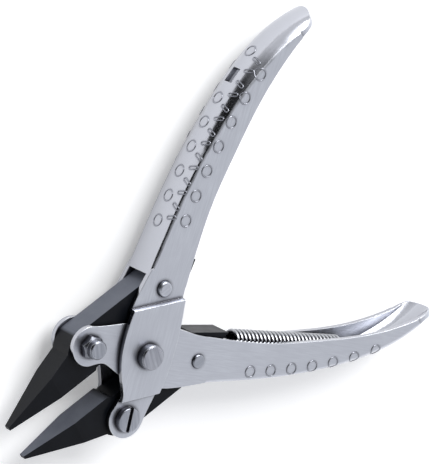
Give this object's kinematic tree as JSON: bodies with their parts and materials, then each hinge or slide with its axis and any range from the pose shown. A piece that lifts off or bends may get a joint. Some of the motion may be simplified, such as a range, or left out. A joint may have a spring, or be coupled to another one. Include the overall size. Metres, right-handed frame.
{
  "type": "parallel-action flat nose pliers",
  "caption": "Flat nose pliers with parallel-action black jaws, embossed pressed-channel handles and a return spring in the lower handle, held open.",
  "frame": {"origin": "on the main pivot axis, at the outer face of the lower main rivet head", "axes": "+X from the pivot towards the handle ends, the jaws point along -X; +Y from the lower handle to the upper one; +Z along the pivot, out of the side seen with the slotted screw head on the lower jaw"},
  "size_m": [0.1249, 0.1046, 0.0181],
  "materials": {
    "handle_chrome": "satin nickel-chrome plate over pressed steel, fine brushing",
    "jaw_black": "black oxide over forged and ground steel",
    "rivet_steel": "bright steel rivets, filed faces",
    "screw_steel": "bright plated screws and nuts",
    "spring_steel": "bright drawn spring wire"
  },
  "bodies": {
    "lower_handle": {"lower_handle": "handle_chrome", "main_rivet_near": "rivet_steel", "main_rivet_far": "rivet_steel", "lower_slot_pin": "rivet_steel", "upper_jaw_screw": "screw_steel", "upper_jaw_nut": "screw_steel", "return_spring": "spring_steel"},
    "upper_handle": {"upper_handle": "handle_chrome", "upper_slot_pin": "rivet_steel", "lower_jaw_screw": "screw_steel", "lower_jaw_nut": "screw_steel"},
    "upper_jaw": {"upper_jaw": "jaw_black"},
    "lower_jaw": {"lower_jaw": "jaw_black"},
    "spring_front": {"return_spring_hook": "spring_steel"}
  },
  "joints": [
    {"name": "handle_pivot", "type": "hinge", "parent": "lower_handle", "child": "upper_handle", "pos_m": [0, 0, 0.00905], "axis": [0, 0, 1], "range_deg": [-35.5, 0], "stiffness_Nm_per_rad": 0.13, "springref_deg": 51.57},
    {"name": "upper_jaw_pivot", "type": "hinge", "parent": "lower_handle", "child": "upper_jaw", "pos_m": [-0.01257, 0.01231, 0.00905], "axis": [0, 0, 1], "range_deg": [-17.75, 0]},
    {"name": "lower_jaw_pivot", "type": "hinge", "parent": "upper_handle", "child": "lower_jaw", "pos_m": [-0.01257, -0.01231, 0.00905], "axis": [0, 0, 1], "range_deg": [0, 17.75]},
    {"name": "spring_stretch", "type": "slide", "parent": "lower_handle", "child": "spring_front", "axis": [-0.9874, -0.1582, 0], "range_m": [0, 0.00717], "deforming": ["return_spring", "return_spring_hook"]}
  ],
  "couplings": [
    {"joint": "upper_jaw_pivot", "follows": "handle_pivot", "ratio": 0.5},
    {"joint": "lower_jaw_pivot", "follows": "handle_pivot", "ratio": -0.5},
    {"joint": "spring_stretch", "follows": "handle_pivot", "m_per_rad": -0.011568}
  ]
}
